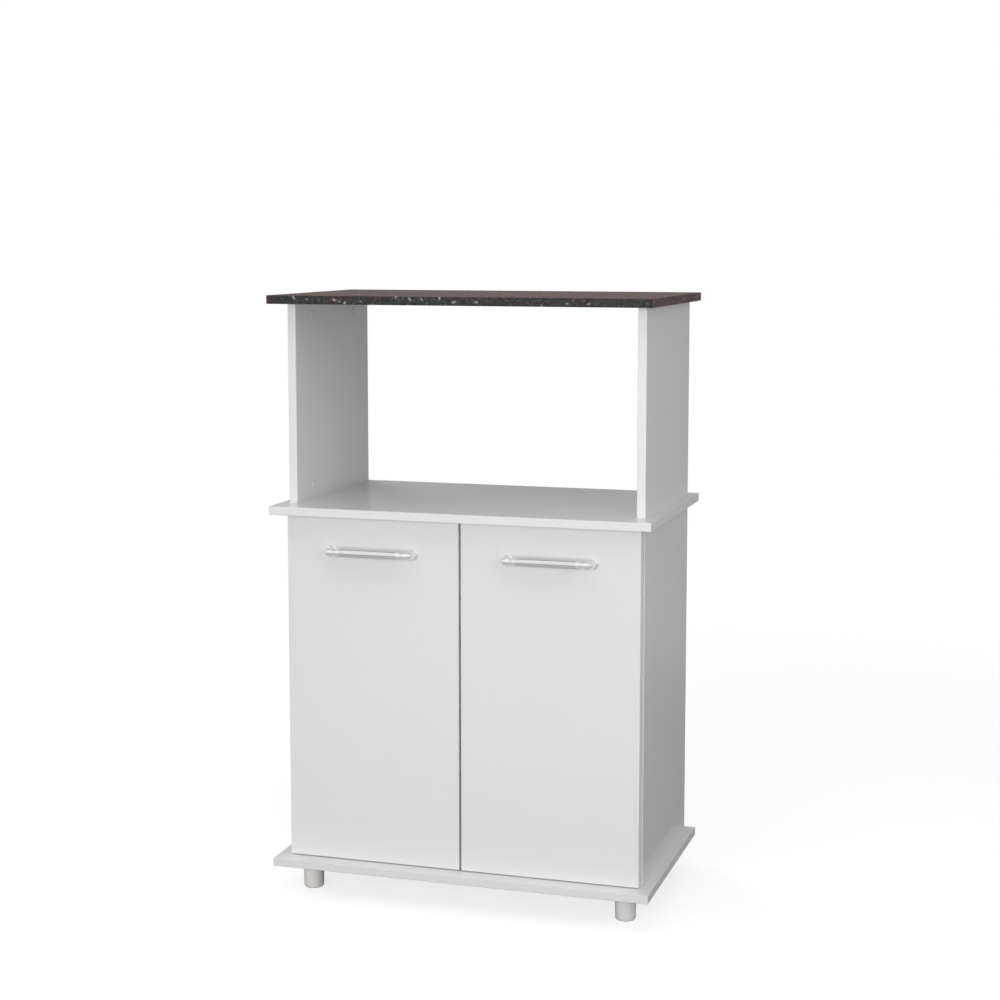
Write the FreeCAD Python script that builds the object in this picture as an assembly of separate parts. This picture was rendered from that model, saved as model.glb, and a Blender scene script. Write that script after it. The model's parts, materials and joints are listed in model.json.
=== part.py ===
import FreeCAD, Part
import math
import os

# Microwave cabinet, in millimetres. The origin is on the floor under the middle of the cabinet,
# +X is to the right as seen from the front, +Y runs to the back and +Z is up.

# Slabs: the top panel, the mid shelf and the base panel are cut alike
SLAB_WIDTH = 685.0
SLAB_DEPTH = 400.0
BOARD = 15.0  # thickness of the slabs, the sides and the inner shelf
EDGE_ROUND = 1.0  # rounding of banded edges

# Sides
SIDE_OVERHANG = 20.0  # slab beyond the outer face of a side
SIDE_DEPTH = 350.0
SIDE_REAR_SETBACK = 4.0  # slab beyond the back edge of a side
CUPBOARD_HEIGHT = 619.0  # base panel to mid shelf
NICHE_HEIGHT = 354.0  # mid shelf to top panel

# Doors
DOOR_THICKNESS = 15.0
DOOR_GAP = 2.5  # door's back to the front edge of a side
DOOR_REVEAL = 3.0  # door's outer edge inside the outer face of a side
DOOR_MEETING_GAP = 4.0
DOOR_END_GAP = 1.5  # door to the slab above and below

# Handles
HANDLE_DROP = 61.5  # top of the door to the bar's axis
HANDLE_SPACING = 150.0  # between the fixing screws
HANDLE_STANDOFF = 20.0  # door's front to the bar's axis
HANDLE_BAR_RADIUS = 7.75
HANDLE_BAR_WALL = 1.2
HANDLE_SPIGOT = 10.0  # depth that each end piece reaches into the bar
ELBOW_RADIUS = 7.4
ELBOW_TURN = 8.5  # radius of the elbow's bend, along its middle line
SHOULDER_LENGTH = 2.0  # elbow down to the neck
SHOULDER_STEPS = 6  # facets round the shoulder
NECK_RADIUS = 5.2
NECK_LENGTH = 1.6
FERRULE_CONE = 6.8  # length over which the neck widens to the bead
FERRULE_BEAD = 3.3
FERRULE_STEP = 0.5  # bead beyond the bar
FERRULE_BEVEL = 0.5
ROSE_RADIUS = 9.6
ROSE_RIM = 1.0
ROSE_HEIGHT = 2.6

# Concealed hinges
HINGE_FROM_END = 100.0  # door's end to the middle of a hinge
SWING_CLEARANCE = 0.5  # door's back corner to the side as the door swings
CUP_RADIUS = 17.5
CUP_FRONT_WALL = 3.0  # board left in front of the cup
CUP_FLOOR = 0.6
FLANGE_THICKNESS = 1.0
FLANGE_LIP = 0.8
EAR_RADIUS = 6.5
CUP_SCREW_SPACING = 45.0
CUP_SCREW_OFFSET = 9.5  # cup's middle to the line of its screws
PIN_RADIUS = 1.25
PIN_SEAT = 1.8  # length of the pin held in each cheek of the cup
RUNNING_CLEARANCE = 0.05
KNUCKLE_WALL = 1.1
KNUCKLE_CLEARANCE = 0.4  # knuckle to the outer wall of the pocket
POCKET_CLEARANCE = 1.0
PIVOT_FROM_RIM = 3.5
ARM_THICKNESS = 3.0
ARM_WIDTH = 10.0
ARM_SIDE_CLEARANCE = 0.25
ARM_OPEN_CLEARANCE = 2.0  # arm to the cup's flange with the door wide open
ARM_BEND = 2.0
ARM_NECK = 12.0  # front edge of the side to where the arm widens
ARM_REACH_BACK = 62.0  # front edge of the side to the arm's rear end
ARM_BODY_WIDTH = 13.0
PLATE_START = 16.0
PLATE_END = 60.0
PEDESTAL_WIDTH = 15.0
WING_THICKNESS = 2.0
WING_LENGTH = 18.0
WING_SCREW_LINE = 37.0  # front edge of the side to the line of plate screws
WING_SCREW_SPACING = 32.0
WING_END = 7.0  # screw to the end of a wing
ARM_ADJUST_LINE = 24.0  # front edge of the side to the adjusting screw
ARM_CLAMP_LINE = 48.0  # front edge of the side to the clamping screw
ARM_SCREW_SPARE = 0.6  # tip of an arm screw to the face of the side

# Screws: radius and height of the head, radius of the shank
CUP_SCREW = (3.2, 1.6, 1.6)
WING_SCREW = (3.5, 2.0, 1.75)
ARM_SCREW = (4.0, 2.2, 2.2)
HANDLE_SCREW = (4.0, 2.4, 1.95)
FOOT_SCREW = (4.5, 2.6, 2.2)
CARCASS_SCREW = (5.0, 3.0, 2.5)
CARCASS_SCREW_BITE = 35.0  # length of the screw inside the side
HANDLE_SCREW_BITE = 7.0
BOARD_SKIN = 4.0  # board left beyond the tip of a screw
SCREW_TIP = 1.4  # length of a screw's point, in shank radii
HEAD_CROWN = 0.7  # flat top of a domed head, in head radii
RECESS_ARM = 0.55  # reach of the cross recess, in head radii
RECESS_SLOT = 0.22  # width of the cross recess, in head radii
RECESS_DEPTH = 0.6  # depth of the cross recess, in head heights

# Joints of the carcass, measured along the depth of a side from its front and back edges
FIT = 0.05  # fastener to its hole, all round
JOINT_INSET = 35.0  # edge of the side to the first fastener
JOINT_PITCH = 20.0  # from one kind of fastener to the next
DOWEL_RADIUS = 4.0
DOWEL_SKIN = 6.0  # slab left beyond the end of a dowel
DOWEL_IN_SIDE = 20.0
DOWEL_BEVEL = 0.8
CAM_RADIUS = 7.4
CAM_SKIN = 3.0  # side left behind a cam
CAM_RECESS = 2.0  # depth of the cross in a cam
CAM_FROM_END = 24.0  # end of the side to the cam's axis
CAM_COVER_LIP = 1.1  # cover beyond the cam
CAM_COVER_HEIGHT = 1.0
CAM_COVER_BEVEL = 0.5
BOLT_THREAD_RADIUS = 3.0
BOLT_COLLAR_STEP = 0.4  # collar beyond the bolt's head
BOLT_COLLAR_LENGTH = 4.0
BOLT_NECK_RADIUS = 2.5
BOLT_HEAD_RADIUS = 3.5
BOLT_HEAD_LENGTH = 4.0

# Back panel of the cupboard
BACK_THICKNESS = 3.0
BACK_EDGE_GAP = 1.0  # panel's edges to the slabs, and inside the outer faces of the sides
NAIL_RADIUS = 0.75
NAIL_HEAD_RADIUS = 2.0
NAIL_HEAD_HEIGHT = 0.6
NAIL_LENGTH = 20.0
NAIL_COUNT = 6  # along each side
NAIL_END = 45.0  # end of the side to the first nail

# Inner shelf and its peg supports
SHELF_HEIGHT = 300.0  # base panel to the underside of the shelf
SHELF_SETBACK = 30.0  # front edge of the sides to the shelf
SHELF_SIDE_GAP = 1.0
PEG_RADIUS = 2.5
PEG_DEPTH = 8.0
PEG_DROP = 8.0  # underside of the shelf to the peg's axis
PEG_INSET = 60.0  # shelf's front and back edges to the pegs
SUPPORT_WIDTH = 12.0
SUPPORT_REACH = 10.0
SUPPORT_HEIGHT = 14.0
SUPPORT_WALL = 2.0

# Feet
FOOT_HEIGHT = 51.0
FOOT_TOP_RADIUS = 18.7
FOOT_BOTTOM_RADIUS = 17.8
FOOT_ROUND = 4.0
FOOT_SIDE_INSET = 53.0  # slab's ends to the middle of a foot
FOOT_EDGE_INSET = 61.0  # slab's front and back edges to the middle of a foot
FOOT_SEAT = 12.0  # solid top of the foot that its screw clamps
FOOT_BORE_RADIUS = 7.0

# Planes worked out from the sizes above
slab_end = SLAB_WIDTH / 2
slab_front = -SLAB_DEPTH / 2
slab_back = SLAB_DEPTH / 2
side_outer = slab_end - SIDE_OVERHANG
side_inner = side_outer - BOARD
side_middle = side_outer - BOARD / 2
side_back = slab_back - SIDE_REAR_SETBACK
side_front = side_back - SIDE_DEPTH
base_bottom = FOOT_HEIGHT
base_top = base_bottom + BOARD
shelf_bottom = base_top + CUPBOARD_HEIGHT
shelf_top = shelf_bottom + BOARD
top_bottom = shelf_top + NICHE_HEIGHT

door_back = side_front - DOOR_GAP
door_front = door_back - DOOR_THICKNESS
door_outer = side_outer - DOOR_REVEAL
door_inner = DOOR_MEETING_GAP / 2
door_middle = (door_outer + door_inner) / 2
door_bottom = base_top + DOOR_END_GAP
door_top = shelf_bottom - DOOR_END_GAP
hinge_heights = {"lower": door_bottom + HINGE_FROM_END, "upper": door_top - HINGE_FROM_END}
handle_height = door_top - HANDLE_DROP

# Hinge line: the pin sits as deep as the cup allows, and so far from the door's edge that the
# door's back corner swings past the side with the clearance given above
knuckle_radius = PIN_RADIUS + RUNNING_CLEARANCE + KNUCKLE_WALL
cup_depth = DOOR_THICKNESS - CUP_FRONT_WALL
pivot_depth = cup_depth - CUP_FLOOR - POCKET_CLEARANCE - knuckle_radius
pivot_from_edge = math.sqrt((DOOR_GAP + pivot_depth - SWING_CLEARANCE) ** 2 - pivot_depth**2)
pivot_x = pivot_from_edge - door_outer
pivot_y = door_back - pivot_depth
cup_x = pivot_x - PIVOT_FROM_RIM + CUP_RADIUS
arm_near = pivot_x + pivot_depth + FLANGE_THICKNESS + ARM_OPEN_CLEARANCE
arm_far = arm_near + ARM_THICKNESS
pocket_half = ARM_WIDTH / 2 + ARM_SIDE_CLEARANCE

# Fasteners: places along the depth of a side, and lengths that the boards allow
upper_dowel_inset = JOINT_INSET
screw_inset = JOINT_INSET + JOINT_PITCH
cam_inset = JOINT_INSET + 2 * JOINT_PITCH
lower_dowel_inset = JOINT_INSET + 3 * JOINT_PITCH
dowel_in_slab = BOARD - DOWEL_SKIN
cam_depth = BOARD - CAM_SKIN
bolt_in_slab = BOARD - BOARD_SKIN
bolt_collar_radius = BOLT_HEAD_RADIUS + BOLT_COLLAR_STEP
carcass_screw_length = BOARD + CARCASS_SCREW_BITE
wing_screw_length = WING_THICKNESS + BOARD - BOARD_SKIN
arm_screw_length = arm_far + side_inner - ARM_SCREW_SPARE
cup_screw_length = FLANGE_THICKNESS + DOOR_THICKNESS - BOARD_SKIN
handle_screw_length = DOOR_THICKNESS + HANDLE_SCREW_BITE
foot_screw_length = FOOT_SEAT + BOARD - BOARD_SKIN
foot_x = FOOT_SIDE_INSET - slab_end

Vector = FreeCAD.Vector
LEFTWARD = Vector(-1, 0, 0)
RIGHTWARD = Vector(1, 0, 0)
FORWARD = Vector(0, -1, 0)
BACKWARD = Vector(0, 1, 0)
UP = Vector(0, 0, 1)
DOWN = Vector(0, 0, -1)


def block(x_range, y_range, z_range):
    """Rectangular solid between three pairs of planes."""
    low = Vector(x_range[0], y_range[0], z_range[0])
    high = Vector(x_range[1], y_range[1], z_range[1])
    size = high - low
    return Part.makeBox(size.x, size.y, size.z, low)


def board(x_range, y_range, z_range, rounded):
    """Board whose edges along the axes named in rounded, such as "xz", are softened by banding."""
    blank = block(x_range, y_range, z_range)
    edges = []
    for edge in blank.Edges:
        run = edge.Vertexes[1].Point - edge.Vertexes[0].Point
        lengths = {"x": abs(run.x), "y": abs(run.y), "z": abs(run.z)}
        if max(lengths, key=lengths.get) in rounded:
            edges.append(edge)
    return blank.makeFillet(EDGE_ROUND, edges)


def rod(radius, start, direction, length):
    """Plain cylinder from start along direction."""
    return Part.makeCylinder(radius, length, start, direction)


def turned(outline, start, direction):
    """Solid turned from (radius, distance) points about the line from start along direction."""
    points = [Vector(radius, 0, distance) for radius, distance in outline]
    profile = Part.Face(Part.makePolygon(points + points[:1]))
    solid = profile.revolve(Vector(0, 0, 0), UP, 360)
    solid.Placement = FreeCAD.Placement(start, FreeCAD.Rotation(UP, direction))
    return solid


def mirrored(shape):
    """The same shape on the other side of the cabinet."""
    return shape.mirror(Vector(0, 0, 0), RIGHTWARD)


def both_sides(shapes):
    """Left-hand shapes followed by their right-hand twins."""
    return shapes + [mirrored(shape) for shape in shapes]


def along_depth(inset):
    """The two places along a side that lie inset from its front and back edges."""
    return (side_front + inset, side_back - inset)


def cross_recess(top, direction, head_radius, depth):
    """Cross for the driver, sunk into a head from top along direction."""
    reach = head_radius * RECESS_ARM
    half = head_radius * RECESS_SLOT / 2
    slot = block((-reach, reach), (-half, half), (0, depth))
    cross = slot.fuse(block((-half, half), (-reach, reach), (0, depth)))
    cross.Placement = FreeCAD.Placement(top, FreeCAD.Rotation(UP, direction))
    return cross


def pan_screw(seat, direction, size, length):
    """Screw whose domed head stands on seat and whose shank runs along direction."""
    head_radius, head_height, shank_radius = size
    tip = shank_radius * SCREW_TIP
    outline = [
        (0, -head_height),
        (head_radius * HEAD_CROWN, -head_height),
        (head_radius, -head_height / 2),
        (head_radius, 0),
        (shank_radius, 0),
        (shank_radius, length - tip),
        (0, length),
    ]
    top = seat - direction * head_height
    recess = cross_recess(top, direction, head_radius, head_height * RECESS_DEPTH)
    return turned(outline, seat, direction).cut(recess)


def sunk_screw(surface, direction, size, length):
    """Screw whose conical head is flush with surface."""
    head_radius, head_height, shank_radius = size
    tip = shank_radius * SCREW_TIP
    outline = [
        (0, 0),
        (head_radius, 0),
        (shank_radius, head_height),
        (shank_radius, length - tip),
        (0, length),
    ]
    recess = cross_recess(surface, direction, head_radius, head_height * RECESS_DEPTH)
    return turned(outline, surface, direction).cut(recess)


def screw_hole(surface, direction, size, length):
    """Hole for the shank of a screw."""
    return rod(size[2] + FIT, surface, direction, length + FIT)


def sunk_screw_hole(surface, direction, size, length):
    """Hole for a screw with a conical head."""
    head_radius, head_height, shank_radius = size
    outline = [
        (0, 0),
        (head_radius + FIT, 0),
        (shank_radius + FIT, head_height + FIT),
        (shank_radius + FIT, length + FIT),
        (0, length + FIT),
    ]
    return turned(outline, surface, direction)


def joint_places():
    """Where the left sides meet the slabs: point on the slab's face, and the way into the side."""
    lower = [(base_top, UP), (shelf_bottom, DOWN)]
    upper = [(shelf_top, UP), (top_bottom, DOWN)]
    return lower, upper


def dowel_places():
    """Points and directions of the left-hand dowels, as they enter the sides."""
    lower, upper = joint_places()
    places = []
    for inset, faces in ((lower_dowel_inset, lower), (upper_dowel_inset, upper)):
        for y in along_depth(inset):
            places += [(Vector(-side_middle, y, z), way) for z, way in faces]
    return places


def dowel(place, way):
    """Wooden dowel with bevelled ends, part in the slab and part in the side."""
    length = dowel_in_slab + DOWEL_IN_SIDE
    rim = DOWEL_RADIUS - DOWEL_BEVEL
    outline = [
        (0, 0),
        (rim, 0),
        (DOWEL_RADIUS, DOWEL_BEVEL),
        (DOWEL_RADIUS, length - DOWEL_BEVEL),
        (rim, length),
        (0, length),
    ]
    return turned(outline, place - way * dowel_in_slab, way)


def dowel_hole(place, way):
    start = place - way * (dowel_in_slab + FIT)
    return rod(DOWEL_RADIUS + FIT, start, way, dowel_in_slab + DOWEL_IN_SIDE + 2 * FIT)


def cam_places():
    """Points on the slabs where the left-hand cam bolts enter the upper side."""
    _, upper = joint_places()
    return [(Vector(-side_middle, y, z), way) for y in along_depth(cam_inset) for z, way in upper]


def cam_centre(place, way):
    """Middle of the cam's face, flush with the inner face of the left upper side."""
    return Vector(-side_inner, place.y, place.z) + way * CAM_FROM_END


def cam_lock(place, way):
    """Turning cam with a passage for the head of its bolt and a cross for the driver."""
    centre = cam_centre(place, way)
    cam = rod(CAM_RADIUS, centre, LEFTWARD, cam_depth)
    passage = rod(BOLT_HEAD_RADIUS + FIT, place, way, CAM_FROM_END)
    recess = cross_recess(centre, LEFTWARD, CAM_RADIUS, CAM_RECESS)
    return cam.cut([passage, recess])


def cam_bolt(place, way):
    """Bolt that is screwed into the slab and that the cam draws into the side."""
    head_end = CAM_FROM_END
    outline = [
        (0, -bolt_in_slab),
        (BOLT_THREAD_RADIUS, -bolt_in_slab),
        (BOLT_THREAD_RADIUS, 0),
        (bolt_collar_radius, 0),
        (bolt_collar_radius, BOLT_COLLAR_LENGTH),
        (BOLT_NECK_RADIUS, BOLT_COLLAR_LENGTH),
        (BOLT_NECK_RADIUS, head_end - BOLT_HEAD_LENGTH),
        (BOLT_HEAD_RADIUS, head_end - BOLT_HEAD_LENGTH),
        (BOLT_HEAD_RADIUS, head_end - FIT),
        (0, head_end - FIT),
    ]
    return turned(outline, place, way)


def cam_cover(place, way):
    """Thin round cap over the face of a cam."""
    radius = CAM_RADIUS + CAM_COVER_LIP
    outline = [
        (0, 0),
        (radius, 0),
        (radius, CAM_COVER_HEIGHT - CAM_COVER_BEVEL),
        (radius - CAM_COVER_BEVEL, CAM_COVER_HEIGHT),
        (0, CAM_COVER_HEIGHT),
    ]
    return turned(outline, cam_centre(place, way), RIGHTWARD)


def cam_holes(place, way):
    """Holes for the cam, the bolt's collar and the bolt's thread."""
    seat = rod(CAM_RADIUS + FIT, cam_centre(place, way), LEFTWARD, cam_depth + FIT)
    bore = rod(bolt_collar_radius + FIT, place, way, CAM_FROM_END)
    thread = rod(BOLT_THREAD_RADIUS + FIT, place, way * -1, bolt_in_slab + FIT)
    return [seat, bore, thread]


def carcass_screw_places():
    """Where the long screws enter the base panel from below and the mid shelf from above."""
    places = []
    for y in along_depth(screw_inset):
        places.append((Vector(-side_middle, y, base_bottom), UP))
        places.append((Vector(-side_middle, y, shelf_top), DOWN))
    return places


def nail_places():
    """Heads of the nails down the left edge of the back panel."""
    step = (CUPBOARD_HEIGHT - 2 * NAIL_END) / (NAIL_COUNT - 1)
    heights = [base_top + NAIL_END + step * index for index in range(NAIL_COUNT)]
    return [Vector(-side_middle, side_back + BACK_THICKNESS, z) for z in heights]


def nail(place):
    outline = [
        (0, -NAIL_HEAD_HEIGHT),
        (NAIL_HEAD_RADIUS, -NAIL_HEAD_HEIGHT),
        (NAIL_HEAD_RADIUS, 0),
        (NAIL_RADIUS, 0),
        (NAIL_RADIUS, NAIL_LENGTH - 2 * NAIL_RADIUS),
        (0, NAIL_LENGTH),
    ]
    return turned(outline, place, FORWARD)


def nail_hole(place):
    return rod(NAIL_RADIUS + FIT, place, FORWARD, NAIL_LENGTH + FIT)


def peg_places():
    """Axes of the shelf pegs on the inner face of the left lower side."""
    z = base_top + SHELF_HEIGHT - PEG_DROP
    near = side_front + SHELF_SETBACK + PEG_INSET
    far = side_back - PEG_INSET
    return [Vector(-side_inner, y, z) for y in (near, far)]


def shelf_support(place):
    """Angle that carries the shelf, with a peg in the side."""
    z_top = place.z + PEG_DROP
    y_range = (place.y - SUPPORT_WIDTH / 2, place.y + SUPPORT_WIDTH / 2)
    x_wall = place.x + SUPPORT_WALL
    ledge = block((place.x, place.x + SUPPORT_REACH), y_range, (z_top - SUPPORT_WALL, z_top))
    wall = block((place.x, x_wall), y_range, (z_top - SUPPORT_HEIGHT, z_top))
    peg = rod(PEG_RADIUS, place + RIGHTWARD * SUPPORT_WALL, LEFTWARD, SUPPORT_WALL + PEG_DEPTH)
    return ledge.fuse([wall, peg]).removeSplitter()


def wing_screw_places():
    """Seats of the mounting plates' screws on the left lower side."""
    x = -side_inner + WING_THICKNESS
    y = side_front + WING_SCREW_LINE
    half = WING_SCREW_SPACING / 2
    return [Vector(x, y, z + end) for z in hinge_heights.values() for end in (-half, half)]


def slab(z_low, holes):
    """Full-size slab with the holes of both its ends."""
    x_range = (-slab_end, slab_end)
    y_range = (slab_front, slab_back)
    blank = board(x_range, y_range, (z_low, z_low + BOARD), "xyz")
    return blank.cut(both_sides(holes))


def side(z_low, z_high, holes):
    """Left side; its ends stay square because they meet the slabs."""
    x_range = (-side_outer, -side_inner)
    blank = board(x_range, (side_front, side_back), (z_low, z_high), "z")
    return blank.cut(holes)


def build_carcass():
    """Boards of the cabinet and everything that fastens them."""
    dowels = [dowel(*place) for place in dowel_places()]
    dowel_holes = [dowel_hole(*place) for place in dowel_places()]
    cam_cuts = [hole for place in cam_places() for hole in cam_holes(*place)]
    screws = []
    screw_cuts = []
    for place in carcass_screw_places():
        screws.append(sunk_screw(*place, CARCASS_SCREW, carcass_screw_length))
        screw_cuts.append(sunk_screw_hole(*place, CARCASS_SCREW, carcass_screw_length))
    foot_cuts = [foot_screw_hole(y) for y in foot_lines()]
    nail_cuts = [nail_hole(place) for place in nail_places()]
    peg_cuts = [rod(PEG_RADIUS + FIT, place, LEFTWARD, PEG_DEPTH + FIT) for place in peg_places()]
    wing_cuts = []
    for place in wing_screw_places():
        wing_cuts.append(screw_hole(place, LEFTWARD, WING_SCREW, wing_screw_length))

    joints = dowel_holes + cam_cuts + screw_cuts
    upper = side(shelf_top, top_bottom, dowel_holes + cam_cuts)
    lower_cuts = dowel_holes + screw_cuts + nail_cuts + peg_cuts + wing_cuts
    lower = side(base_top, shelf_bottom, lower_cuts)
    save("top_panel", slab(top_bottom, joints))
    save("mid_shelf", slab(shelf_bottom, joints))
    save("base_panel", slab(base_bottom, joints + foot_cuts))
    save("upper_side_left", upper)
    save("upper_side_right", mirrored(upper))
    save("lower_side_left", lower)
    save("lower_side_right", mirrored(lower))
    save("dowels", *both_sides(dowels))
    save("cam_locks", *both_sides([cam_lock(*place) for place in cam_places()]))
    save("cam_bolts", *both_sides([cam_bolt(*place) for place in cam_places()]))
    save("cam_covers", *both_sides([cam_cover(*place) for place in cam_places()]))
    save("carcass_screws", *both_sides(screws))

    back_end = side_outer - BACK_EDGE_GAP
    back_z = (base_top + BACK_EDGE_GAP, shelf_bottom - BACK_EDGE_GAP)
    back = block((-back_end, back_end), (side_back, side_back + BACK_THICKNESS), back_z)
    save("back_panel", back.cut(both_sides(nail_cuts)))
    save("back_panel_nails", *both_sides([nail(place) for place in nail_places()]))

    shelf_end = side_inner - SHELF_SIDE_GAP
    shelf_y = (side_front + SHELF_SETBACK, side_back)
    shelf_low = base_top + SHELF_HEIGHT
    save("inner_shelf", board((-shelf_end, shelf_end), shelf_y, (shelf_low, shelf_low + BOARD), "x"))
    save("shelf_supports", *both_sides([shelf_support(place) for place in peg_places()]))


def foot_lines():
    """Depth of the front and rear rows of feet."""
    return (slab_front + FOOT_EDGE_INSET, slab_back - FOOT_EDGE_INSET)


def foot_screw_hole(y):
    seat = Vector(foot_x, y, FOOT_HEIGHT - FOOT_SEAT)
    return screw_hole(seat, UP, FOOT_SCREW, foot_screw_length)


def foot(y):
    """Slightly tapered left foot with a rounded lower edge, bored from below for its screw."""
    ground = Vector(foot_x, y, 0)
    body = Part.makeCone(FOOT_BOTTOM_RADIUS, FOOT_TOP_RADIUS, FOOT_HEIGHT, ground)
    rim = [edge for edge in body.Edges if edge.BoundBox.ZMax < FOOT_ROUND]
    body = body.makeFillet(FOOT_ROUND, rim)
    bore = rod(FOOT_BORE_RADIUS, ground, UP, FOOT_HEIGHT - FOOT_SEAT)
    return body.cut([bore, foot_screw_hole(y)])


def build_feet():
    for row, y in zip(("front", "rear"), foot_lines()):
        left = foot(y)
        save(f"foot_{row}_left", left)
        save(f"foot_{row}_right", mirrored(left))
    screws = []
    for y in foot_lines():
        seat = Vector(foot_x, y, FOOT_HEIGHT - FOOT_SEAT)
        screws.append(pan_screw(seat, UP, FOOT_SCREW, foot_screw_length))
    save("foot_screws", *both_sides(screws))


def handle_screw_places():
    """Seats of the left handle's screws on the back of the door."""
    half = HANDLE_SPACING / 2
    return [Vector(x - door_middle, door_back, handle_height) for x in (-half, half)]


def rose_outline():
    """Outline of the low cone at the foot of an end piece, from the door up to the leg."""
    return [
        (0, 0),
        (ROSE_RADIUS, 0),
        (ROSE_RADIUS, ROSE_RIM),
        (ELBOW_RADIUS, ROSE_HEIGHT),
        (0, ROSE_HEIGHT),
    ]


def ferrule_outline():
    """Outline from the elbow to the bar: a round shoulder, a neck, a cone and a bead against the bar."""
    crest = HANDLE_BAR_RADIUS + FERRULE_STEP
    neck_end = SHOULDER_LENGTH + NECK_LENGTH
    bead_start = neck_end + FERRULE_CONE
    bead_end = bead_start + FERRULE_BEAD
    points = [(0, 0)]
    for step in range(SHOULDER_STEPS + 1):
        angle = math.radians(90 * step / SHOULDER_STEPS)
        radius = NECK_RADIUS + (ELBOW_RADIUS - NECK_RADIUS) * math.cos(angle)
        points.append((radius, SHOULDER_LENGTH * math.sin(angle)))
    return points + [
        (NECK_RADIUS, neck_end),
        (crest, bead_start),
        (crest, bead_end - FERRULE_BEVEL),
        (crest - FERRULE_BEVEL, bead_end),
        (0, bead_end),
    ]


def handle_end(inward):
    """End piece on the door's front: rose, leg, quarter elbow, ferrule, and a spigot inside the bar.

    inward is the direction from this end piece to the middle of the handle.
    """
    seat = Vector(-door_middle, door_front, handle_height) - inward * (HANDLE_SPACING / 2)
    leg_end = seat + FORWARD * (HANDLE_STANDOFF - ELBOW_TURN)
    ferrule_start = seat + FORWARD * HANDLE_STANDOFF + inward * ELBOW_TURN
    ferrule_points = ferrule_outline()
    bar_start = ferrule_start + inward * ferrule_points[-1][1]
    rose = turned(rose_outline(), seat, FORWARD)
    leg = rod(ELBOW_RADIUS, seat, FORWARD, HANDLE_STANDOFF - ELBOW_TURN)
    section = Part.Face(Part.Wire(Part.makeCircle(ELBOW_RADIUS, leg_end, FORWARD)))
    elbow = section.revolve(leg_end + inward * ELBOW_TURN, FORWARD.cross(inward), 90)
    ferrule = turned(ferrule_points, ferrule_start, inward)
    spigot = rod(HANDLE_BAR_RADIUS - HANDLE_BAR_WALL - FIT, bar_start, inward, HANDLE_SPIGOT)
    thread = rod(HANDLE_SCREW[2] + FIT, seat, FORWARD, HANDLE_SCREW_BITE + FIT)
    return rose.fuse([leg, elbow, ferrule, spigot]).cut(thread), bar_start


def build_handles():
    outer_end, outer_start = handle_end(RIGHTWARD)
    inner_end, inner_start = handle_end(LEFTWARD)
    span = inner_start.x - outer_start.x
    tube = rod(HANDLE_BAR_RADIUS, outer_start, RIGHTWARD, span)
    bar = tube.cut(rod(HANDLE_BAR_RADIUS - HANDLE_BAR_WALL, outer_start, RIGHTWARD, span))
    screws = []
    for seat in handle_screw_places():
        screws.append(pan_screw(seat, FORWARD, HANDLE_SCREW, handle_screw_length))
    save_pair("handle_bar", [bar])
    save_pair("handle_end_outer", [outer_end])
    save_pair("handle_end_inner", [inner_end])
    save_pair("handle_screws", screws)


def cup_screw_places(z):
    """Seats of a left hinge cup's screws, on its flange."""
    x = cup_x + CUP_SCREW_OFFSET
    half = CUP_SCREW_SPACING / 2
    return [Vector(x, door_back + FLANGE_THICKNESS, z + end) for end in (-half, half)]


def hinge_cup(z):
    """Cup sunk in the door's back, with a flange, a pocket for the arm and holes for the pin."""
    middle = Vector(cup_x, door_back, z)
    cup = rod(CUP_RADIUS, middle, FORWARD, cup_depth)
    lip = rod(CUP_RADIUS + FLANGE_LIP, middle, BACKWARD, FLANGE_THICKNESS)
    ears = []
    for seat in cup_screw_places(z):
        root = Vector(seat.x, door_back, seat.z)
        ears.append(rod(EAR_RADIUS, root, BACKWARD, FLANGE_THICKNESS))
    strap_x = (cup_x + CUP_SCREW_OFFSET - EAR_RADIUS, cup_x + CUP_SCREW_OFFSET + EAR_RADIUS)
    strap_y = (door_back, door_back + FLANGE_THICKNESS)
    half = CUP_SCREW_SPACING / 2
    strap = block(strap_x, strap_y, (z - half, z + half))
    pocket_x = (pivot_x - knuckle_radius - KNUCKLE_CLEARANCE, arm_far + POCKET_CLEARANCE)
    pocket_y = (door_back - cup_depth + CUP_FLOOR, door_back + FLANGE_THICKNESS)
    pocket = block(pocket_x, pocket_y, (z - pocket_half, z + pocket_half))
    pin_hole = hinge_pin(z, FIT)
    screw_cuts = []
    for seat in cup_screw_places(z):
        screw_cuts.append(screw_hole(seat, FORWARD, CUP_SCREW, cup_screw_length))
    return cup.fuse([lip, strap] + ears).removeSplitter().cut([pocket, pin_hole] + screw_cuts)


def hinge_pin(z, grow=0.0):
    """Pin across the cup's pocket, or the hole for it when grown."""
    half = pocket_half + PIN_SEAT + grow
    return rod(PIN_RADIUS + grow, Vector(pivot_x, pivot_y, z - half), UP, 2 * half)


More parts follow.
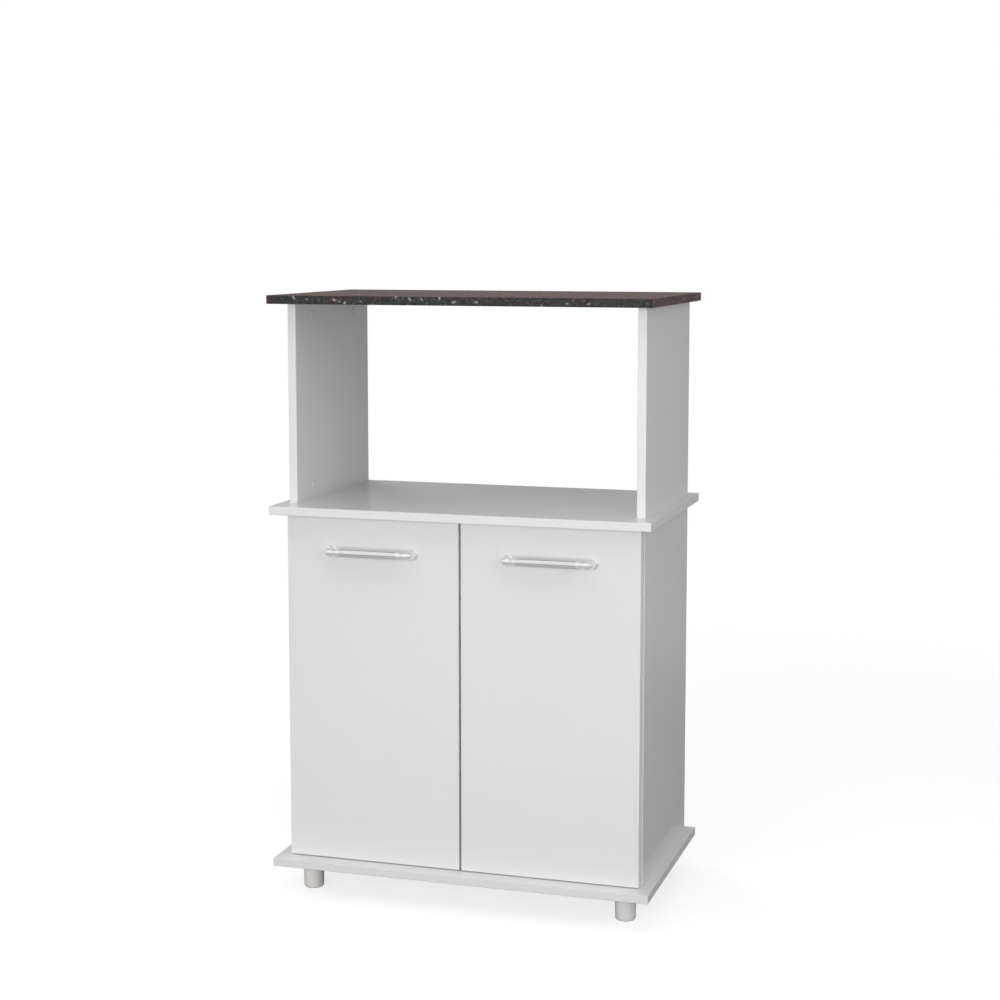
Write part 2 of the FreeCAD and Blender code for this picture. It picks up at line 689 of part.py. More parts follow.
def hinge_arm(z):
    """Arm that turns on the pin, bends round the front edge of the side and lies on its plate."""
    half = ARM_WIDTH / 2
    z_range = (z - half, z + half)
    body_half = ARM_BODY_WIDTH / 2
    front = pivot_y - ARM_THICKNESS / 2
    tongue = block((pivot_x, arm_far), (front, front + ARM_THICKNESS), z_range)
    neck = block((arm_near, arm_far), (front, side_front + ARM_NECK), z_range)
    hook = tongue.fuse(neck).removeSplitter()
    corner = []
    for edge in hook.Edges:
        middle = edge.CenterOfMass
        if abs(middle.x - arm_far) < FIT and abs(middle.y - front) < FIT:
            corner.append(edge)
    hook = hook.makeFillet(ARM_BEND, corner)
    knuckle = rod(knuckle_radius, Vector(pivot_x, pivot_y, z_range[0]), UP, ARM_WIDTH)
    body_y = (side_front + ARM_NECK, side_front + ARM_REACH_BACK)
    body = block((arm_near, arm_far), body_y, (z - body_half, z + body_half))
    arm = hook.fuse([knuckle, body]).removeSplitter()
    bore_start = Vector(pivot_x, pivot_y, z_range[0])
    bore = rod(PIN_RADIUS + RUNNING_CLEARANCE, bore_start, UP, ARM_WIDTH)
    return arm.cut([bore] + arm_screw_holes(z))


def arm_screw_seats(z):
    """Where the heads of a left hinge's arm screws stand."""
    lines = (ARM_ADJUST_LINE, ARM_CLAMP_LINE)
    return [Vector(arm_far, side_front + line, z) for line in lines]


def arm_screw_holes(z):
    return [screw_hole(seat, LEFTWARD, ARM_SCREW, arm_screw_length) for seat in arm_screw_seats(z)]


def hinge_plate(z):
    """Mounting plate on the inner face of the side: a pedestal for the arm and two screwed wings."""
    half = PEDESTAL_WIDTH / 2
    y_range = (side_front + PLATE_START, side_front + PLATE_END)
    pedestal = block((-side_inner, arm_near), y_range, (z - half, z + half))
    wing_half = WING_SCREW_SPACING / 2 + WING_END
    line = side_front + WING_SCREW_LINE
    wing_y = (line - WING_LENGTH / 2, line + WING_LENGTH / 2)
    wing_x = (-side_inner, -side_inner + WING_THICKNESS)
    wings = block(wing_x, wing_y, (z - wing_half, z + wing_half))
    cuts = arm_screw_holes(z)
    for place in wing_screw_places():
        cuts.append(screw_hole(place, LEFTWARD, WING_SCREW, wing_screw_length))
    return pedestal.fuse(wings).removeSplitter().cut(cuts)


def build_hinges():
    arm_screws = []
    for row, z in hinge_heights.items():
        save_pair(f"{row}_hinge_cup", [hinge_cup(z)])
        save_pair(f"{row}_hinge_pin", [hinge_pin(z)])
        save_pair(f"{row}_hinge_arm", [hinge_arm(z)])
        save_pair(f"{row}_hinge_plate", [hinge_plate(z)])
        for seat in arm_screw_seats(z):
            arm_screws.append(pan_screw(seat, LEFTWARD, ARM_SCREW, arm_screw_length))
    save("hinge_arm_screws", *both_sides(arm_screws))
    wing_screws = []
    for place in wing_screw_places():
        wing_screws.append(pan_screw(place, LEFTWARD, WING_SCREW, wing_screw_length))
    save("hinge_plate_screws", *both_sides(wing_screws))
    cup_screws = []
    for z in hinge_heights.values():
        for seat in cup_screw_places(z):
            cup_screws.append(pan_screw(seat, FORWARD, CUP_SCREW, cup_screw_length))
    save_pair("hinge_cup_screws", cup_screws)


def build_doors():
    """Left door, bored for its hinge cups and screws, and its right-hand twin."""
    cuts = []
    for z in hinge_heights.values():
        middle = Vector(cup_x, door_back, z)
        cuts.append(rod(CUP_RADIUS + FIT, middle, FORWARD, cup_depth + FIT))
        for seat in cup_screw_places(z):
            cuts.append(screw_hole(seat, FORWARD, CUP_SCREW, cup_screw_length))
    for seat in handle_screw_places():
        cuts.append(screw_hole(seat, FORWARD, HANDLE_SCREW, DOOR_THICKNESS))
    x_range = (-door_outer, -door_inner)
    blank = board(x_range, (door_front, door_back), (door_bottom, door_top), "xyz")
    save_pair("door", [blank.cut(cuts)])


def save(name, *solids):
    """Write one node; several solids make a group."""
    shape = solids[0] if len(solids) == 1 else Part.makeCompound(list(solids))
    shape.exportStep(f"parts/{name}.step")


def save_pair(name, solids):
    """Write a left-hand node and its right-hand twin."""
    save(f"left_{name}", *solids)
    save(f"right_{name}", *[mirrored(solid) for solid in solids])


os.makedirs("parts", exist_ok=True)
build_carcass()
build_feet()
build_doors()
build_handles()
build_hinges()
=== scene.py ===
import json
import math

import bpy
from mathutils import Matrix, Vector


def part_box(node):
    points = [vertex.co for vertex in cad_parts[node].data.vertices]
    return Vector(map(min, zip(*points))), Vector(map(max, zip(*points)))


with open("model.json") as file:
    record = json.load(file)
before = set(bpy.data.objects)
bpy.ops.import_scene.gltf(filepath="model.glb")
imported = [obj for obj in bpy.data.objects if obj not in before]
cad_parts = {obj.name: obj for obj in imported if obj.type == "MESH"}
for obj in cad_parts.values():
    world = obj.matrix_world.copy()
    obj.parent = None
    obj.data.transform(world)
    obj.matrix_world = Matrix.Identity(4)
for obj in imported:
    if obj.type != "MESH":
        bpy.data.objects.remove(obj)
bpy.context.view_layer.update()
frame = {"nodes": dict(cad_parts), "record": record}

nodes = frame["nodes"]

# Camera at the photograph's viewing angle. Places are in metres, angles in degrees, the lens in millimetres.
CAMERA_PLACE = (1.0294, -3.2628, 1.1676)
CAMERA_YAW = 17.19
CAMERA_PITCH = 6.16
CAMERA_LENS = 69.06
CAMERA_SENSOR = 36.0
CAMERA_SHIFT = -0.055

# Softboxes: place, the point that it faces, width and height, and power in watts.
SOFTBOXES = {
    "front_softbox": ((-0.3, -3.6, 0.95), (0.0, 0.0, 0.55), (3.4, 1.5), 69.5),
    "right_softbox": ((1.9, -1.2, 1.3), (0.3, 0.0, 0.6), (1.6, 1.8), 16.0),
    "overhead_softbox": ((0.0, -0.9, 3.0), (0.0, 0.0, 0.4), (2.6, 2.0), 25.0),
    "rear_softbox": ((-2.6, 2.4, 2.8), (0.0, 0.0, 0.5), (1.8, 1.8), 60.0),
}

# White room: the light that it gives, and how white mirrors show it in front and low down behind.
ROOM_LIGHT = 0.20
MIRRORED_ROOM = (1.0, 0.43)
ROOM_MIRROR_FADE = (0.1, 0.5)

# Floor: painted near the cabinet, where it takes the shadow, and plain white far off. Mirrors show it greyer,
# and its near part has one level in front and another behind.
FLOOR_SIZE = 30.0
FLOOR_GREY = (0.36, 0.36, 0.36, 1)
FLOOR_GLOW = 0.76
FLOOR_FADE = (1.2, 2.6)
MIRRORED_NEAR_FLOOR = (0.28, 0.10)
MIRRORED_FAR_FLOOR = 0.44
FLOOR_MIRROR_FADE = (-0.6, 0.0)

# Board sizes that the finish follows, in metres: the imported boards' edge round, how far from a face the band
# starts, the seam beside it, how far from the rear edge bare chipboard starts and is full, how near to an
# edge the granite print turns the corner, and the depth of the hardboard's paint.
MICRON = 0.000001
EDGE_ROUND = 0.001
BAND_INSET = 350 * MICRON
SEAM_WIDTH = 120 * MICRON
BARE_FROM = (0.5 * EDGE_ROUND, 0.3 * EDGE_ROUND)
PRINT_EDGE = 0.3 * EDGE_ROUND
PAINT_DEPTH = 400 * MICRON

# Boards. Colours are linear, and a pair holds the two ends between which a tone or a roughness varies.
LACQUER_WHITE = ((0.80, 0.80, 0.80, 1), (0.79, 0.79, 0.788, 1))
LACQUER_ROUGH = (0.10, 0.16)
LACQUER_RIPPLE = 240.0
LACQUER_RELIEF = 6 * MICRON
BAND_WHITE = (0.775, 0.775, 0.77, 1)
# Door edge bands are painted lighter than the carcass bands: painted light on the door edges.
DOOR_BAND_PAINTED_LIGHT_WHITE = (0.90, 0.90, 0.895, 1)
BAND_ROUGH = 0.30
SEAM_GREY = (0.55, 0.54, 0.52, 1)
CHIP_WOOD = ((0.30, 0.19, 0.10, 1), (0.52, 0.37, 0.22, 1))
CHIP_RESIN = (0.17, 0.10, 0.055, 1)
CHIP_GAPS = 0.6
CHIP_DUST = 0.5
CHIP_ROUGH = 0.9
CHIP_RELIEF = 25.0
HARDBOARD_WHITE = ((0.78, 0.78, 0.77, 1), (0.75, 0.75, 0.74, 1))
HARDBOARD_BROWN = ((0.16, 0.085, 0.04, 1), (0.30, 0.175, 0.09, 1))
HARDBOARD_STAIN = (0.22, 0.125, 0.065, 1)
HARDBOARD_ROUGH = (0.35, 0.75)
HARDBOARD_RELIEF = 80 * MICRON
FIBRE_RELIEF = 1.5
PRESS_SCREEN = 0.0016

# Granite print. Layers of pale flecks: cells to the metre, how slender a fleck is, its half length as a share
# of a cell, the share of cells that hold one, and the brightest grey. Then, for all layers: how far each is
# moved, how ragged a fleck is, the shares of its length and of the held cells where it is at full strength,
# and its blue as a share of its grey.
GRANITE_GREY = ((0.014, 0.015, 0.0145, 1), (0.058, 0.060, 0.0575, 1))
# Brown: print patches on the front band, and a painted reflection tint over all the other faces.
GRANITE_PATCH_AND_PAINTED_REFLECTION_BROWN = ((0.026, 0.012, 0.0115, 1), (0.108, 0.050, 0.0475, 1))
GRANITE_MOTTLE = 0.6
GRANITE_ROUGH = (0.46, 0.56)
GRANITE_GLOSS = 0.17
GRANITE_RELIEF = 20 * MICRON
GRANITE_FLECKS = (
    (42.0, 2.0, 0.225, 0.70, 0.34),
    (50.0, 1.9, 0.200, 0.55, 0.28),
    (104.0, 1.5, 0.185, 0.55, 0.17),
    (217.0, 1.3, 0.205, 0.55, 0.10),
)
FLECK_SHIFT = (0.13, 0.07)
FLECK_RAGGED = 2.2
FLECK_CORE = 0.2
FLECK_BOLD = 0.4
FLECK_BLUE = 0.97

# Handle bars and dowels
BAR_SILVER = ((0.72, 0.72, 0.725, 1), (0.84, 0.84, 0.845, 1))
BAR_ROUGH = (0.18, 0.28)
BAR_RELIEF = 8 * MICRON
BEECH = ((0.62, 0.42, 0.24, 1), (0.42, 0.26, 0.13, 1))
BEECH_FLECKS = 0.3
BEECH_ROUGH = (0.55, 0.75)
BEECH_RELIEF = 60 * MICRON

# Moulded plastics by material slot: two tones, roughness, and ripples to the metre.
PLASTICS = {
    "foot_plastic": ((0.88, 0.86, 0.845, 1), (0.85, 0.828, 0.81, 1), 0.38, 900.0),
    "cover_plastic": ((0.80, 0.80, 0.79, 1), (0.77, 0.77, 0.76, 1), 0.25, 700.0),
    "support_plastic": ((0.78, 0.78, 0.77, 1), (0.74, 0.74, 0.73, 1), 0.40, 900.0),
}
PLASTIC_RELIEF = 20 * MICRON
PLASTIC_SMUDGE = 0.1

# Plated and bare metals by material slot: the finish's name, two tones, roughness, ripple depth in metres,
# and ripples to the metre.
METALS = {
    "handle_end_chrome": ("plated_end", (0.96, 0.96, 0.965, 1), (0.93, 0.93, 0.935, 1), 0.28,
                          10 * MICRON, 300.0),
    "hinge_steel": ("nickel_hinge", (0.66, 0.645, 0.62, 1), (0.60, 0.585, 0.56, 1), 0.24, 10 * MICRON, 500.0),
    "pin_steel": ("pin_steel", (0.58, 0.58, 0.59, 1), (0.50, 0.50, 0.51, 1), 0.20, 5 * MICRON, 900.0),
    "screw_steel": ("zinc_screw", (0.62, 0.63, 0.65, 1), (0.55, 0.555, 0.56, 1), 0.28, 10 * MICRON, 900.0),
    "cam_zinc": ("cast_zinc", (0.50, 0.50, 0.51, 1), (0.42, 0.42, 0.43, 1), 0.42, 30 * MICRON, 700.0),
}
METAL_DULLEST = 1.5

# Cloudy noise: its middle, and the span in which it varies most
NOISE_MIDDLE = 0.5
CLOUDS = (0.3, 0.7)

# The long wave under a fine ripple: its count and its height as shares of the ripple's
LONG_WAVE_SHARE = 0.08
LONG_WAVE_HEIGHT = 3.0

VALUE = "NodeSocketFloat"
COLOUR = "NodeSocketColor"
VECTOR = "NodeSocketVector"


# Small helpers for node trees
def feed(tree, node, inputs):
    """Feeds a node's inputs: a socket is linked and a value is set."""
    for key, value in inputs.items():
        if isinstance(value, bpy.types.NodeSocket):
            tree.links.new(value, node.inputs[key])
        else:
            node.inputs[key].default_value = value


def place(tree, kind, inputs=None, **settings):
    """Adds a node, sets its properties and feeds its inputs."""
    node = tree.nodes.new(kind)
    for name, value in settings.items():
        setattr(node, name, value)
    feed(tree, node, inputs or {})
    return node


def calc(tree, operation, first, second=0.0, third=0.0):
    """One step of arithmetic on values."""
    return place(tree, "ShaderNodeMath", {0: first, 1: second, 2: third}, operation=operation).outputs[0]


def ramp(tree, value, start, end, low=0.0, high=1.0):
    """A smooth step: low up to start, high from end on."""
    inputs = {"Value": value, "From Min": start, "From Max": end, "To Min": low, "To Max": high}
    return place(tree, "ShaderNodeMapRange", inputs, interpolation_type="SMOOTHSTEP").outputs[0]


def blend(tree, share, first, second):
    """A colour between two colours."""
    return place(tree, "ShaderNodeMix", {0: share, 6: first, 7: second}, data_type="RGBA").outputs[2]


def blend_value(tree, share, first, second):
    """A value between two values."""
    return place(tree, "ShaderNodeMix", {0: share, 2: first, 3: second}).outputs[0]


def noise(tree, spot, per_metre, detail=2.0, rough=0.5):
    """Cloudy noise with so many features to the metre."""
    inputs = {"Vector": spot, "Scale": per_metre, "Detail": detail, "Roughness": rough}
    return place(tree, "ShaderNodeTexNoise", inputs).outputs[0]


def stretched(tree, spot, scale, turn=(0.0, 0.0, 0.0), shift=(0.0, 0.0, 0.0)):
    """The same spot in a pattern that is stretched, turned or moved."""
    inputs = {"Vector": spot, "Location": shift, "Rotation": turn, "Scale": scale}
    return place(tree, "ShaderNodeMapping", inputs).outputs[0]


def split(tree, spot):
    """The X, Y and Z of a spot."""
    return place(tree, "ShaderNodeSeparateXYZ", {0: spot}).outputs


def channels(tree, colour):
    """The red, green and blue of a colour."""
    return place(tree, "ShaderNodeSeparateColor", {0: colour}).outputs


def flat_spot(tree, across, up):
    """A spot on a plane."""
    return place(tree, "ShaderNodeCombineXYZ", {0: across, 1: up}).outputs[0]


def off_middle(tree, value, middle):
    """How far a value is from the middle, either way."""
    return calc(tree, "ABSOLUTE", calc(tree, "SUBTRACT", value, middle))


def length(tree, spot):
    """How far a spot is from the origin."""
    return place(tree, "ShaderNodeVectorMath", {0: spot}, operation="LENGTH").outputs["Value"]


# Effects that several finishes share
def effect(name, takes, gives):
    """Starts a shared effect: returns its tree, its input sockets and the node that its outputs go to."""
    tree = bpy.data.node_groups.new(name, "ShaderNodeTree")
    for label, kind in takes.items():
        tree.interface.new_socket(name=label, in_out="INPUT", socket_type=kind)
    for label, kind in gives.items():
        tree.interface.new_socket(name=label, in_out="OUTPUT", socket_type=kind)
    return tree, tree.nodes.new("NodeGroupInput").outputs, tree.nodes.new("NodeGroupOutput").inputs


def make_orange_peel():
    """The faint ripple of a sprayed or cured surface, on a higher and much longer wave."""
    tree, takes, gives = effect("orange_peel", {"Spot": VECTOR, "Per Metre": VALUE}, {"Height": VALUE})
    fine = noise(tree, takes["Spot"], takes["Per Metre"], detail=1.0)
    sparse = calc(tree, "MULTIPLY", takes["Per Metre"], LONG_WAVE_SHARE)
    long_wave = noise(tree, takes["Spot"], sparse, detail=1.0)
    tree.links.new(calc(tree, "MULTIPLY_ADD", long_wave, LONG_WAVE_HEIGHT, fine), gives["Height"])
    return tree


def make_handling_marks():
    """Faint wipe marks and smudges, from 0 on a clean spot to 1 in a smudge."""
    tree, takes, gives = effect("handling_marks", {"Spot": VECTOR}, {"Smudge": VALUE})
    clouds = noise(tree, takes["Spot"], per_metre=7.0, detail=5.0, rough=0.6)
    along_wipe = stretched(tree, takes["Spot"], scale=(6.0, 6.0, 60.0), turn=(0.5, 0.3, 0.0))
    wipes = noise(tree, along_wipe, per_metre=1.0, detail=3.0, rough=0.6)
    clouds = ramp(tree, clouds, start=0.42, end=0.68)
    wipes = ramp(tree, wipes, start=0.35, end=0.7)
    tree.links.new(calc(tree, "MULTIPLY", clouds, wipes), gives["Smudge"])
    return tree


def make_edge_band():
    """Where a board's edge is banded, and the hairline joint between the band and the face."""
    tree, takes, gives = effect("edge_band", {"Across": VALUE, "Half": VALUE}, {"Band": VALUE, "Seam": VALUE})
    depth = calc(tree, "SUBTRACT", takes["Half"], takes["Across"])
    band = ramp(tree, depth, BAND_INSET - SEAM_WIDTH, BAND_INSET)
    off_seam = off_middle(tree, depth, BAND_INSET)
    tree.links.new(band, gives["Band"])
    tree.links.new(ramp(tree, off_seam, 0.0, SEAM_WIDTH, low=1.0, high=0.0), gives["Seam"])
    return tree


def make_chipboard():
    """The bare, sawn edge of particle board: pressed wood chips in brown resin."""
    tree, takes, gives = effect("chipboard", {"Spot": VECTOR}, {"Colour": COLOUR, "Height": VALUE})
    chip_spot = stretched(tree, takes["Spot"], scale=(260, 260, 520))
    chips = place(tree, "ShaderNodeTexVoronoi", {"Vector": chip_spot, "Scale": 1.0}).outputs
    dust = noise(tree, takes["Spot"], per_metre=900.0, detail=3.0, rough=0.7)
    gaps = calc(tree, "MULTIPLY", chips["Distance"], CHIP_GAPS)
    tone = calc(tree, "MULTIPLY_ADD", dust, CHIP_DUST, gaps)
    wood = blend(tree, channels(tree, chips["Color"])[0], *CHIP_WOOD)
    shaded = blend(tree, ramp(tree, tone, start=0.2, end=0.8), wood, CHIP_RESIN)
    tree.links.new(shaded, gives["Colour"])
    tree.links.new(tone, gives["Height"])
    return tree


EFFECTS = {tree.name: tree for tree in (make_orange_peel(), make_handling_marks(), make_edge_band(),
                                        make_chipboard())}


def use(tree, name, **inputs):
    """Places a shared effect in a material and returns its outputs."""
    node = place(tree, "ShaderNodeGroup", node_tree=EFFECTS[name])
    feed(tree, node, {label.replace("_", " "): value for label, value in inputs.items()})
    return node.outputs


# Finishes
def empty_material(name):
    """A new material and its bare node tree."""
    material = bpy.data.materials.new(name)
    material.use_nodes = True
    material.node_tree.nodes.clear()
    return material, material.node_tree


def start_finish(name):
    """A new material: its tree, its shader and the spot on the piece in metres."""
    material, tree = empty_material(name)
    shader = tree.nodes.new("ShaderNodeBsdfPrincipled")
    place(tree, "ShaderNodeOutputMaterial", {"Surface": shader.outputs[0]})
    spot = tree.nodes.new("ShaderNodeTexCoord").outputs["Object"]
    return material, tree, shader, spot


def coat(tree, shader, colour, rough, height, relief):
    """Gives the shader its colour and roughness, and raises the surface by the height times the relief."""
    raised = place(tree, "ShaderNodeBump", {"Height": height, "Distance": relief}).outputs[0]
    feed(tree, shader, {"Base Color": colour, "Roughness": rough, "Normal": raised})


def white_board(node):
    """Glossy white lacquer and banded edges. Boards other than doors have a bare, sawn rear edge."""
    is_door = node.endswith("_door")
    low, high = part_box(node)
    size = high - low
    thin = min(range(3), key=lambda axis: size[axis])
    half = size[thin] / 2
    material, tree, shader, spot = start_finish("white_lacquer_" + node)
    axes = split(tree, spot)
    edge = use(tree, "edge_band", Across=off_middle(tree, axes[thin], low[thin] + half), Half=half)
    marks = use(tree, "handling_marks", Spot=spot)["Smudge"]
    height = use(tree, "orange_peel", Spot=spot, Per_Metre=LACQUER_RIPPLE)["Height"]
    tone = ramp(tree, noise(tree, spot, per_metre=3.0), *CLOUDS)
    colour = blend(tree, tone, *LACQUER_WHITE)
    # Painted light: door edges get the lighter band white.
    colour = blend(tree, edge["Band"], colour, DOOR_BAND_PAINTED_LIGHT_WHITE if is_door else BAND_WHITE)
    colour = blend(tree, edge["Seam"], colour, SEAM_GREY)
    rough = blend_value(tree, edge["Band"], blend_value(tree, marks, *LACQUER_ROUGH), BAND_ROUGH)
    if not is_door:
        chips = use(tree, "chipboard", Spot=spot)
        at_rear = ramp(tree, axes["Y"], *(high.y - inset for inset in BARE_FROM))
        bare = calc(tree, "MULTIPLY", at_rear, edge["Band"])
        colour = blend(tree, bare, colour, chips["Colour"])
        rough = blend_value(tree, bare, rough, CHIP_ROUGH)
        height = blend_value(tree, bare, height, calc(tree, "MULTIPLY", chips["Height"], CHIP_RELIEF))
    coat(tree, shader, colour, rough, height, LACQUER_RELIEF)
    return material


def lay_flecks(tree, colour, print_spot):
    """Pale ragged flecks over a colour. Each lies its own way in its cell, and some cells are bare."""
    barbs = noise(tree, print_spot, per_metre=1100.0, detail=3.0, rough=0.8)
    barbs = calc(tree, "SUBTRACT", barbs, NOISE_MIDDLE)
    for per_metre, slender, reach, kept, brightest in GRANITE_FLECKS:
        shift = (FLECK_SHIFT[0] * per_metre, FLECK_SHIFT[1], 0.0)
        layer_spot = stretched(tree, print_spot, scale=(1.0, 1.0, 1.0), shift=shift)
        cells = place(tree, "ShaderNodeTexVoronoi", {"Vector": layer_spot, "Scale": per_metre},
                      voronoi_dimensions="2D").outputs
        pick, lie = channels(tree, cells["Color"])[:2]
        off_centre = place(tree, "ShaderNodeVectorMath", {0: layer_spot, 1: cells["Position"]},
                           operation="SUBTRACT").outputs[0]
        angle = calc(tree, "MULTIPLY", lie, math.tau)
        turned = place(tree, "ShaderNodeVectorRotate", {"Vector": off_centre, "Angle": angle},
                       rotation_type="Z_AXIS").outputs[0]
        distance = length(tree, stretched(tree, turned, scale=(per_metre, per_metre * slender, 0.0)))
        ragged = calc(tree, "MULTIPLY_ADD", barbs, reach * FLECK_RAGGED, distance)
        fleck = ramp(tree, ragged, reach * FLECK_CORE, reach, low=1.0, high=0.0)
        fleck = calc(tree, "MULTIPLY", fleck, ramp(tree, pick, 1.0 - kept, 1.0 - kept * FLECK_BOLD))
        colour = blend(tree, fleck, colour, (brightest, brightest, brightest * FLECK_BLUE, 1))
    return colour


def granite_board(node):
    """Granite print with pale flecks: grey with brown patches on the front band, a painted brown reflection on
    the other faces.
    """
    low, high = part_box(node)
    half = (high.z - low.z) / 2
    material, tree, shader, spot = start_finish("granite_laminate")
    axes = split(tree, spot)
    on_edge = calc(tree, "LESS_THAN", off_middle(tree, axes["Z"], low.z + half), half - PRINT_EDGE)
    on_front = calc(tree, "LESS_THAN", axes["Y"], low.y + PRINT_EDGE)
    face_spot = flat_spot(tree, axes["X"], axes["Y"])
    edge_spot = flat_spot(tree, calc(tree, "ADD", axes["X"], axes["Y"]), axes["Z"])
    print_spot = place(tree, "ShaderNodeMix", {0: on_edge, 4: face_spot, 5: edge_spot},
                       data_type="VECTOR").outputs[1]

    grain = noise(tree, print_spot, per_metre=520.0, detail=5.0, rough=0.75)
    mottle = noise(tree, print_spot, per_metre=170.0, detail=4.0, rough=0.65)
    tone = ramp(tree, blend_value(tree, GRANITE_MOTTLE, grain, mottle), start=0.36, end=0.66)
    patches = noise(tree, print_spot, per_metre=16.0, detail=3.0)
    patches = ramp(tree, patches, start=0.50, end=0.66, high=0.55)
    # Painted reflection: off the front band the faces are brown all over; on it only the print's patches are
    # brown.
    brown_patches_and_painted_reflection = blend_value(tree, on_front, 1.0, patches)
    stone = blend(tree, brown_patches_and_painted_reflection, blend(tree, tone, *GRANITE_GREY), blend(tree, tone, *GRANITE_PATCH_AND_PAINTED_REFLECTION_BROWN))
    marks = use(tree, "handling_marks", Spot=spot)["Smudge"]
    rough = blend_value(tree, marks, *GRANITE_ROUGH)
    shader.inputs["Specular IOR Level"].default_value = GRANITE_GLOSS
    coat(tree, shader, lay_flecks(tree, stone, print_spot), rough, grain, GRANITE_RELIEF)
    return material


def hardboard(node):
    """Thin hardboard: painted white on the inside, bare brown with the press screen's mesh on the back."""
    low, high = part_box(node)
    material, tree, shader, spot = start_finish("hardboard")
    axes = split(tree, spot)
    bare = calc(tree, "GREATER_THAN", axes["Y"], low.y + PAINT_DEPTH)
    along_fibres = stretched(tree, spot, scale=(420, 420, 160), turn=(0, 0.6, 0))
    fibres = noise(tree, along_fibres, per_metre=1.0, detail=5.0, rough=0.7)
    stains = ramp(tree, noise(tree, spot, per_metre=9.0, detail=3.0), start=0.35, end=0.7, high=0.35)
    brown = blend(tree, ramp(tree, fibres, *CLOUDS), *HARDBOARD_BROWN)
    brown = blend(tree, stains, brown, HARDBOARD_STAIN)
    white = blend(tree, ramp(tree, noise(tree, spot, per_metre=5.0), *CLOUDS), *HARDBOARD_WHITE)
    wires = [calc(tree, "SINE", calc(tree, "MULTIPLY", axes[way], math.tau / PRESS_SCREEN)) for way in "XZ"]
    screen = calc(tree, "MULTIPLY", *wires)
    bare_height = calc(tree, "MULTIPLY_ADD", fibres, FIBRE_RELIEF, screen)
    height = blend_value(tree, bare, fibres, bare_height)
    rough = blend_value(tree, bare, *HARDBOARD_ROUGH)
    coat(tree, shader, blend(tree, bare, white, brown), rough, height, HARDBOARD_RELIEF)
    return material


def moulded_plastic(name, colour, shade, rough, per_metre):
    """Moulded plastic with a fine spark-eroded texture and a little variation in tone."""
    material, tree, shader, spot = start_finish(name)
    clouds = ramp(tree, noise(tree, spot, per_metre=40.0, detail=3.0), *CLOUDS)
    marks = use(tree, "handling_marks", Spot=spot)["Smudge"]
    peel = use(tree, "orange_peel", Spot=spot, Per_Metre=per_metre)["Height"]
    smudged = blend_value(tree, marks, rough, rough + PLASTIC_SMUDGE)
    coat(tree, shader, blend(tree, clouds, colour, shade), smudged, peel, PLASTIC_RELIEF)
    return material


def plated(name, colour, shade, rough, ripple, per_metre):
    """Plated or bare metal: a slight ripple, and tone and gloss that vary a little."""
    material, tree, shader, spot = start_finish(name)
    shader.inputs["Metallic"].default_value = 1.0
    clouds = ramp(tree, noise(tree, spot, per_metre=120.0, detail=4.0, rough=0.6), *CLOUDS)
    dulled = ramp(tree, clouds, 0.0, 1.0, rough, rough * METAL_DULLEST)
    peel = use(tree, "orange_peel", Spot=spot, Per_Metre=per_metre)["Height"]
    coat(tree, shader, blend(tree, clouds, colour, shade), dulled, peel, ripple)
    return material


def drawn_bar():
    """Satin silver tube with fine lines drawn along it."""
    material, tree, shader, spot = start_finish("satin_bar")
    shader.inputs["Metallic"].default_value = 1.0
    line = noise(tree, stretched(tree, spot, scale=(18, 1500, 1500)), per_metre=1.0, detail=4.0, rough=0.65)
    rough = ramp(tree, line, *CLOUDS, *BAR_ROUGH)
    coat(tree, shader, blend(tree, line, *BAR_SILVER), rough, line, BAR_RELIEF)
    return material


def dowel_wood():
    """Bare beech with its grain along the dowel, which lies across the cabinet or upright."""
    material, tree, shader, spot = start_finish("dowel_beech")
    grain = noise(tree, stretched(tree, spot, scale=(300, 900, 300)), per_metre=1.0, detail=4.0, rough=0.6)
    flecks = noise(tree, spot, per_metre=1400.0)
    tone = blend_value(tree, BEECH_FLECKS, grain, flecks)
    rough = ramp(tree, grain, *CLOUDS, *BEECH_ROUGH)
    coat(tree, shader, blend(tree, ramp(tree, tone, *CLOUDS), *BEECH), rough, tone, BEECH_RELIEF)
    return material


def dress():
    """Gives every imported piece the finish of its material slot."""
    boards = {"white_laminate": white_board, "granite_laminate": granite_board, "white_hardboard": hardboard}
    shared = {slot: moulded_plastic(slot, *look) for slot, look in PLASTICS.items()}
    shared.update({slot: plated(*look) for slot, look in METALS.items()})
    shared.update({"handle_bar_metal": drawn_bar(), "dowel_wood": dowel_wood()})
    slots = {part["node"]: part["material_slot"] for part in frame["record"]["subparts"]}
    for name, piece in nodes.items():
        slot = slots[name]
        finish = boards[slot](name) if slot in boards else shared[slot]
        for holder in piece.material_slots:
            holder.material = finish


# Studio
def seen_share(tree, in_mirror):
    """How white a ray sees the surroundings: in full from the camera or through glass, less in a mirror."""
    path = tree.nodes.new("ShaderNodeLightPath").outputs
    mirrored = calc(tree, "MULTIPLY", path["Is Glossy Ray"], in_mirror)
    direct = calc(tree, "MAXIMUM", path["Is Camera Ray"], path["Is Transmission Ray"])
    return calc(tree, "MAXIMUM", direct, mirrored)


def light_room():
    """A white room that gives a soft, even light. Mirrors show it greyer low down behind."""
    world = bpy.data.worlds.new("white_room")
    bpy.context.scene.world = world
    world.use_nodes = True
    tree = world.node_tree
    tree.nodes.clear()
    way = split(tree, tree.nodes.new("ShaderNodeTexCoord").outputs["Generated"])
    low_behind = calc(tree, "SUBTRACT", way["Y"], way["Z"])
    mirrored = ramp(tree, low_behind, *ROOM_MIRROR_FADE, *MIRRORED_ROOM)
    strength = calc(tree, "MAXIMUM", seen_share(tree, mirrored), ROOM_LIGHT)
    room = place(tree, "ShaderNodeBackground", {"Color": (1, 1, 1, 1), "Strength": strength})
    place(tree, "ShaderNodeOutputWorld", {"Surface": room.outputs[0]})


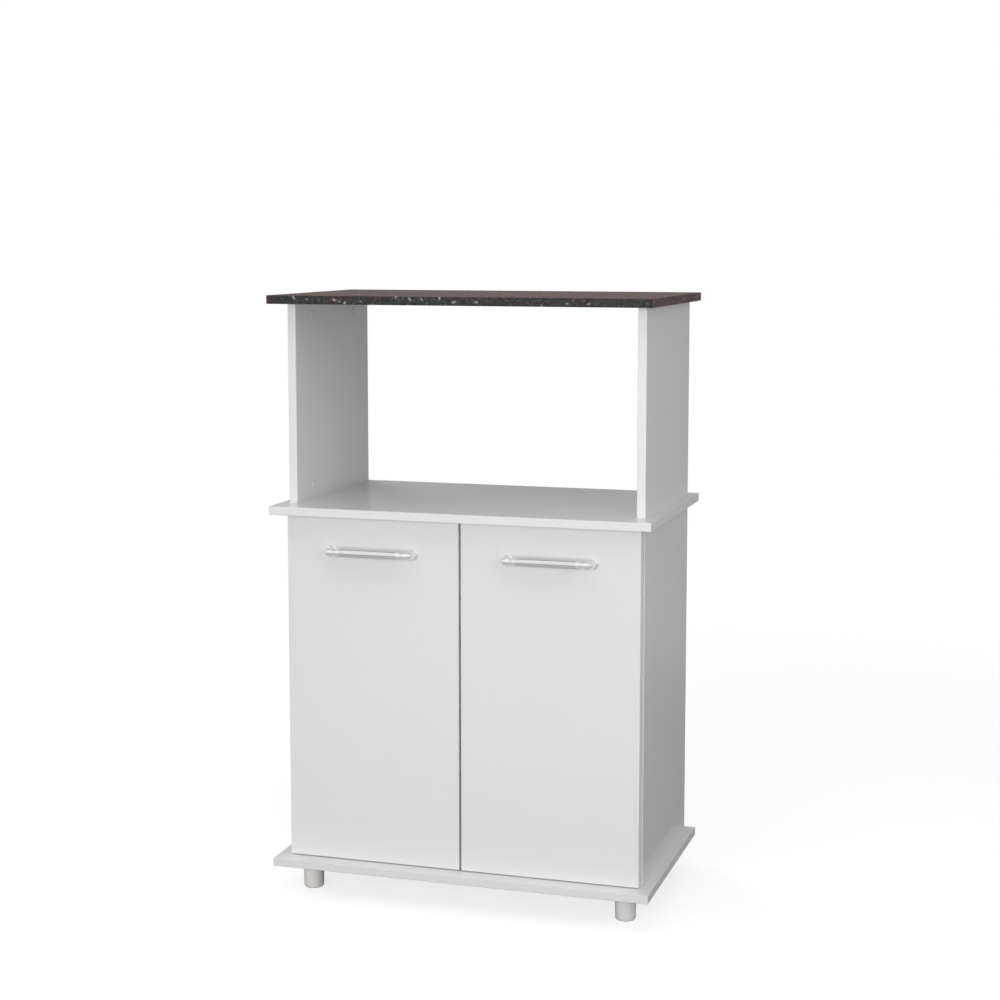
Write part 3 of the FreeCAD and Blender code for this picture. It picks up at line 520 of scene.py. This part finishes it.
def lay_floor():
    """A pale floor that is white where it is seen, and keeps the cabinet's shadow."""
    bpy.ops.mesh.primitive_plane_add(size=FLOOR_SIZE)
    floor = bpy.context.object
    floor.name = "floor"
    material, tree = empty_material("pale_floor")
    spot = tree.nodes.new("ShaderNodeTexCoord").outputs["Object"]
    near_mirrored = ramp(tree, split(tree, spot)["Y"], *FLOOR_MIRROR_FADE, *MIRRORED_NEAR_FLOOR)
    near_glow = calc(tree, "MULTIPLY", seen_share(tree, near_mirrored), FLOOR_GLOW)
    far_share = seen_share(tree, MIRRORED_FAR_FLOOR)
    is_seen = calc(tree, "GREATER_THAN", far_share, 0.0)
    far = calc(tree, "MULTIPLY", is_seen, ramp(tree, length(tree, spot), *FLOOR_FADE))
    paint = place(tree, "ShaderNodeBsdfDiffuse", {"Color": FLOOR_GREY})
    glow = place(tree, "ShaderNodeEmission", {"Strength": near_glow})
    near = place(tree, "ShaderNodeAddShader", {0: paint.outputs[0], 1: glow.outputs[0]})
    white = place(tree, "ShaderNodeEmission", {"Strength": far_share})
    both = place(tree, "ShaderNodeMixShader", {0: far, 1: near.outputs[0], 2: white.outputs[0]})
    place(tree, "ShaderNodeOutputMaterial", {"Surface": both.outputs[0]})
    floor.data.materials.append(material)


def hang_softboxes():
    """Large soft lamps round the cabinet. Mirrors show the white room instead of them."""
    for name, (spot, aim, size, watts) in SOFTBOXES.items():
        lamp = bpy.data.lights.new(name, "AREA")
        lamp.shape = "RECTANGLE"
        lamp.size, lamp.size_y = size
        lamp.energy = watts
        holder = bpy.data.objects.new(name, lamp)
        holder.location = spot
        holder.rotation_euler = (Vector(aim) - Vector(spot)).to_track_quat("-Z", "Y").to_euler()
        holder.visible_glossy = False
        bpy.context.scene.collection.objects.link(holder)


def set_camera():
    """The camera looks slightly down at the cabinet from the front right."""
    camera = bpy.data.cameras.new("camera")
    camera.lens = CAMERA_LENS
    camera.sensor_width = CAMERA_SENSOR
    camera.shift_y = CAMERA_SHIFT
    holder = bpy.data.objects.new("camera", camera)
    holder.location = CAMERA_PLACE
    holder.rotation_euler = (math.radians(90 - CAMERA_PITCH), 0.0, math.radians(CAMERA_YAW))
    bpy.context.scene.collection.objects.link(holder)
    bpy.context.scene.camera = holder


bpy.context.scene.view_settings.view_transform = "Standard"
set_camera()
light_room()
lay_floor()
hang_softboxes()
dress()
